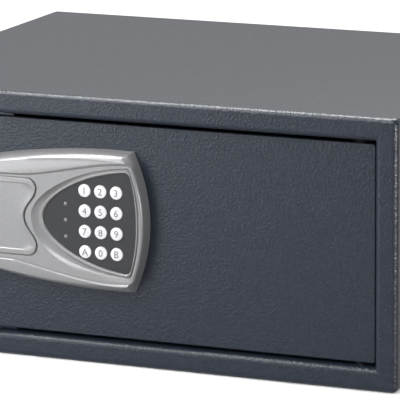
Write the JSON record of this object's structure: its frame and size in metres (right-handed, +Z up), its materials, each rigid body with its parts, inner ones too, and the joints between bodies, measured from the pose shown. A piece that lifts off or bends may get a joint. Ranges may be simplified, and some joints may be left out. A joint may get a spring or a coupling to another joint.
{
  "type": "in room safe",
  "caption": "Low steel hotel safe with a recessed front door, electronic keypad fascia, turn knob with sliding bolts, and an inner cover with battery pack.",
  "frame": {"origin": "middle of the cabinet's base, on the base's underside", "axes": "+X to the right seen from the front, +Y to the back, +Z up"},
  "size_m": [0.43, 0.3651, 0.2],
  "materials": {
    "cabinet_paint": "anthracite textured powder coat, semi-gloss",
    "fascia_paint": "silver-grey satin lacquer on a die-cast fascia",
    "pad_plastic": "dark grey, satin",
    "key_plastic": "pale grey, satin, with grey legends",
    "lens": "grey translucent",
    "steel": "zinc-plated",
    "brass": "machined",
    "black_plastic": "moulded",
    "red_plastic": "moulded",
    "board": "circuit board",
    "cell": "plain sleeve, metal ends",
    "felt": "needled felt"
  },
  "bodies": {
    "cabinet": {"body_wrap": "cabinet_paint", "front_frame": "cabinet_paint", "back_panel": "cabinet_paint", "floor_mat": "felt", "door_stop_upper": "cabinet_paint", "door_stop_lower": "cabinet_paint"},
    "door": {"door_plate": "cabinet_paint", "inner_cover": "cabinet_paint", "hinge_block_upper": "steel", "hinge_block_lower": "steel", "hinge_pin_upper": "steel", "hinge_pin_lower": "steel", "hinge_washer_upper": "black_plastic", "hinge_washer_lower": "black_plastic", "cover_screw_1": "steel", "cover_screw_2": "steel", "cover_screw_3": "steel", "cover_screw_4": "steel", "fascia_housing": "fascia_paint", "keypad_panel": "pad_plastic", "keypad_board": "board", "indicator_lens_upper": "lens", "indicator_lens_middle": "lens", "indicator_lens_lower": "lens", "lock_barrel": "steel", "bolt_guide": "steel", "solenoid_body": "black_plastic", "control_board": "board", "battery_holder": "black_plastic", "battery_1": "cell", "battery_2": "cell", "battery_3": "cell", "battery_4": "cell"},
    "knob": {"knob": "fascia_paint", "knob_shaft": "steel", "bolt_cam": "steel"},
    "bolts": {"bolt_bar": "steel", "bolt_upper": "steel", "bolt_lower": "steel"},
    "plunger": {"solenoid_plunger": "steel"},
    "service_cover": {"service_cover": "fascia_paint"},
    "key_lock_core": {"lock_core": "brass"},
    "reset_button": {"reset_button": "red_plastic"},
    "battery_lid": {"battery_lid": "black_plastic"},
    "key_1": {"key_1": "key_plastic"},
    "key_2": {"key_2": "key_plastic"},
    "key_3": {"key_3": "key_plastic"},
    "key_4": {"key_4": "key_plastic"},
    "key_5": {"key_5": "key_plastic"},
    "key_6": {"key_6": "key_plastic"},
    "key_7": {"key_7": "key_plastic"},
    "key_8": {"key_8": "key_plastic"},
    "key_9": {"key_9": "key_plastic"},
    "key_a": {"key_a": "key_plastic"},
    "key_0": {"key_0": "key_plastic"},
    "key_b": {"key_b": "key_plastic"}
  },
  "joints": [
    {"name": "door_hinge", "type": "hinge", "parent": "cabinet", "child": "door", "pos_m": [0.184, -0.1572, 0.1], "axis": [0, 0, 1], "range_deg": [0, 105]},
    {"name": "knob_turn", "type": "hinge", "parent": "door", "child": "knob", "pos_m": [-0.15, -0.18, 0.108], "axis": [0, -1, 0], "range_deg": [0, 90]},
    {"name": "bolt_slide", "type": "slide", "parent": "door", "child": "bolts", "axis": [-1, 0, 0], "range_m": [0, 0.017]},
    {"name": "plunger_slide", "type": "slide", "parent": "door", "child": "plunger", "axis": [0, 0, 1], "range_m": [0, 0.005]},
    {"name": "service_cover_pull", "type": "slide", "parent": "door", "child": "service_cover", "axis": [0, -1, 0], "range_m": [0, 0.012]},
    {"name": "key_lock_turn", "type": "hinge", "parent": "door", "child": "key_lock_core", "pos_m": [-0.1, -0.15, 0.108], "axis": [0, -1, 0], "range_deg": [-90, 0]},
    {"name": "reset_button_press", "type": "slide", "parent": "door", "child": "reset_button", "axis": [0, -1, 0], "range_m": [0, 0.0015], "stiffness_N_per_m": 400},
    {"name": "battery_lid_slide", "type": "slide", "parent": "door", "child": "battery_lid", "axis": [0, 0, -1], "range_m": [0, 0.015]},
    {"name": "key_1_press", "type": "slide", "parent": "door", "child": "key_1", "axis": [0, 1, 0], "range_m": [0, 0.0011], "stiffness_N_per_m": 300},
    {"name": "key_2_press", "type": "slide", "parent": "door", "child": "key_2", "axis": [0, 1, 0], "range_m": [0, 0.0011], "stiffness_N_per_m": 300},
    {"name": "key_3_press", "type": "slide", "parent": "door", "child": "key_3", "axis": [0, 1, 0], "range_m": [0, 0.0011], "stiffness_N_per_m": 300},
    {"name": "key_4_press", "type": "slide", "parent": "door", "child": "key_4", "axis": [0, 1, 0], "range_m": [0, 0.0011], "stiffness_N_per_m": 300},
    {"name": "key_5_press", "type": "slide", "parent": "door", "child": "key_5", "axis": [0, 1, 0], "range_m": [0, 0.0011], "stiffness_N_per_m": 300},
    {"name": "key_6_press", "type": "slide", "parent": "door", "child": "key_6", "axis": [0, 1, 0], "range_m": [0, 0.0011], "stiffness_N_per_m": 300},
    {"name": "key_7_press", "type": "slide", "parent": "door", "child": "key_7", "axis": [0, 1, 0], "range_m": [0, 0.0011], "stiffness_N_per_m": 300},
    {"name": "key_8_press", "type": "slide", "parent": "door", "child": "key_8", "axis": [0, 1, 0], "range_m": [0, 0.0011], "stiffness_N_per_m": 300},
    {"name": "key_9_press", "type": "slide", "parent": "door", "child": "key_9", "axis": [0, 1, 0], "range_m": [0, 0.0011], "stiffness_N_per_m": 300},
    {"name": "key_a_press", "type": "slide", "parent": "door", "child": "key_a", "axis": [0, 1, 0], "range_m": [0, 0.0011], "stiffness_N_per_m": 300},
    {"name": "key_0_press", "type": "slide", "parent": "door", "child": "key_0", "axis": [0, 1, 0], "range_m": [0, 0.0011], "stiffness_N_per_m": 300},
    {"name": "key_b_press", "type": "slide", "parent": "door", "child": "key_b", "axis": [0, 1, 0], "range_m": [0, 0.0011], "stiffness_N_per_m": 300}
  ],
  "couplings": [
    {"joint": "bolt_slide", "follows": "knob_turn", "m_per_rad": 0.0108},
    {"joint": "plunger_slide", "follows": "knob_turn", "m_per_rad": 0.00318}
  ]
}
